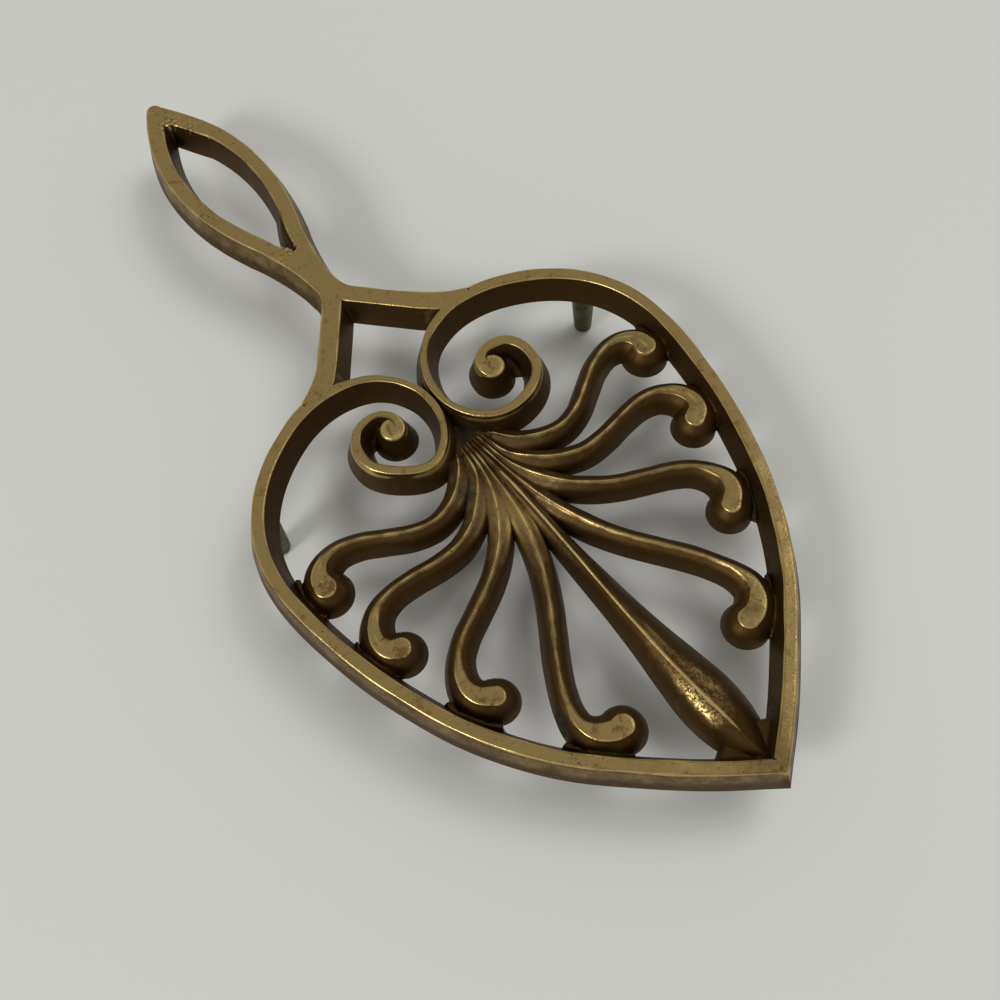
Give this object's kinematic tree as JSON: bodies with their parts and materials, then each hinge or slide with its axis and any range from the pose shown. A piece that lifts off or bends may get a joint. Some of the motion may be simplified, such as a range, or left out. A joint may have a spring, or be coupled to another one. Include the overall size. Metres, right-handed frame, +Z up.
{
  "type": "trivet",
  "caption": "Flat heart-shaped brass trivet with an openwork palmette, two scrolled volutes and a pointed loop handle, standing on short peg feet.",
  "frame": {"origin": "on the floor under the middle of the trivet's length and width", "axes": "+Y from the heart's point towards the handle's tip, +Z up, +X to the right when the handle points away"},
  "size_m": [0.1166, 0.2436, 0.0222],
  "materials": {
    "casting_brass": "aged cast brass, hand-worn golden on the top faces and dark brown in the walls",
    "foot_brass": "dull grey-green tarnished brass"
  },
  "bodies": {
    "root": {"trivet_casting": "casting_brass", "foot_left": "foot_brass", "foot_right": "foot_brass", "foot_front": "foot_brass"}
  },
  "joints": []
}
